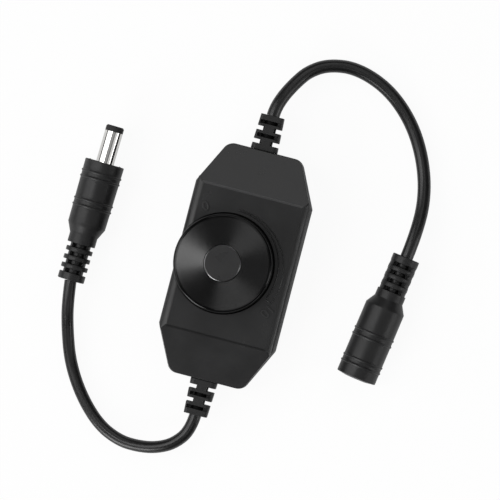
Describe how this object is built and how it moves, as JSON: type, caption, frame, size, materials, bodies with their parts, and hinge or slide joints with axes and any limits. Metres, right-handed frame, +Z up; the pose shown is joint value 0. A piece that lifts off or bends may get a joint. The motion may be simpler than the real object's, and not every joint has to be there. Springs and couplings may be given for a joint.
{
  "type": "rotary dimmer switch",
  "caption": "In-line rotary dimmer for low-voltage lights: octagonal moulded box, dished knob, and short leads to a coaxial plug and socket.",
  "frame": {"origin": "centre of the box's underside, on the surface that it lies on", "axes": "+Z up out of the knob's face, +Y along the box towards the socket's lead, +X to the right seen from above"},
  "size_m": [0.1062, 0.1333, 0.027],
  "materials": {
    "housing": "black moulded plastic, satin",
    "screw_steel": "zinc-plated steel",
    "soft_moulding": "soft black moulding",
    "cord_jacket": "soft black jacket",
    "core_insulation": "wire insulation",
    "knob_face": "black, finely turned",
    "knob_centre": "black, satin",
    "shaft_metal": "turned",
    "pot_plastic": "moulded phenolic",
    "contact_brass": "plain brass",
    "sheet_metal": "tinned sheet",
    "wafer": "phenolic wafer",
    "board": "glass-fibre board with green lacquer",
    "capacitor_can": "sleeved can",
    "chip_plastic": "moulded black",
    "fired_chip": "fired ceramic, tan",
    "grip_moulding": "black moulding, satin",
    "bright_nickel": "bright nickel plating",
    "insulator": "black insulating moulding"
  },
  "bodies": {
    "box": {"upper_shell": "housing", "lower_shell": "housing", "shell_screws": "screw_steel", "input_relief": "soft_moulding", "output_relief": "soft_moulding", "input_cord": "cord_jacket", "output_cord": "cord_jacket", "pot_neck": "shaft_metal", "pot_can": "sheet_metal", "pot_track": "wafer", "pot_pins": "contact_brass", "switch_case": "pot_plastic", "switch_pins": "contact_brass", "circuit_board": "board", "smoothing_capacitor": "capacitor_can", "capacitor_leads": "sheet_metal", "power_transistor_body": "chip_plastic", "power_transistor_tab": "sheet_metal", "timer_chip": "chip_plastic", "timer_chip_legs": "sheet_metal", "guard_diode": "chip_plastic", "chip_resistors": "chip_plastic", "chip_capacitors": "fired_chip", "input_wires": "core_insulation", "output_wires": "core_insulation", "input_cord_end": "cord_jacket", "output_cord_end": "cord_jacket", "plug_grip": "grip_moulding", "plug_sleeve": "bright_nickel", "plug_insulator": "insulator", "plug_inner_contact": "contact_brass", "jack_grip": "grip_moulding", "jack_insert": "insulator", "jack_pin": "bright_nickel", "jack_spring": "contact_brass"},
    "knob": {"knob": "knob_face", "knob_cap": "knob_centre", "pot_shaft": "shaft_metal", "shaft_clip": "screw_steel", "pot_rotor": "pot_plastic", "pot_wiper": "contact_brass"}
  },
  "joints": [
    {"name": "knob_turn", "type": "hinge", "parent": "box", "child": "knob", "pos_m": [-0.0033, 0, 0.0198], "axis": [0, 0, 1], "range_deg": [-300, 0]}
  ]
}
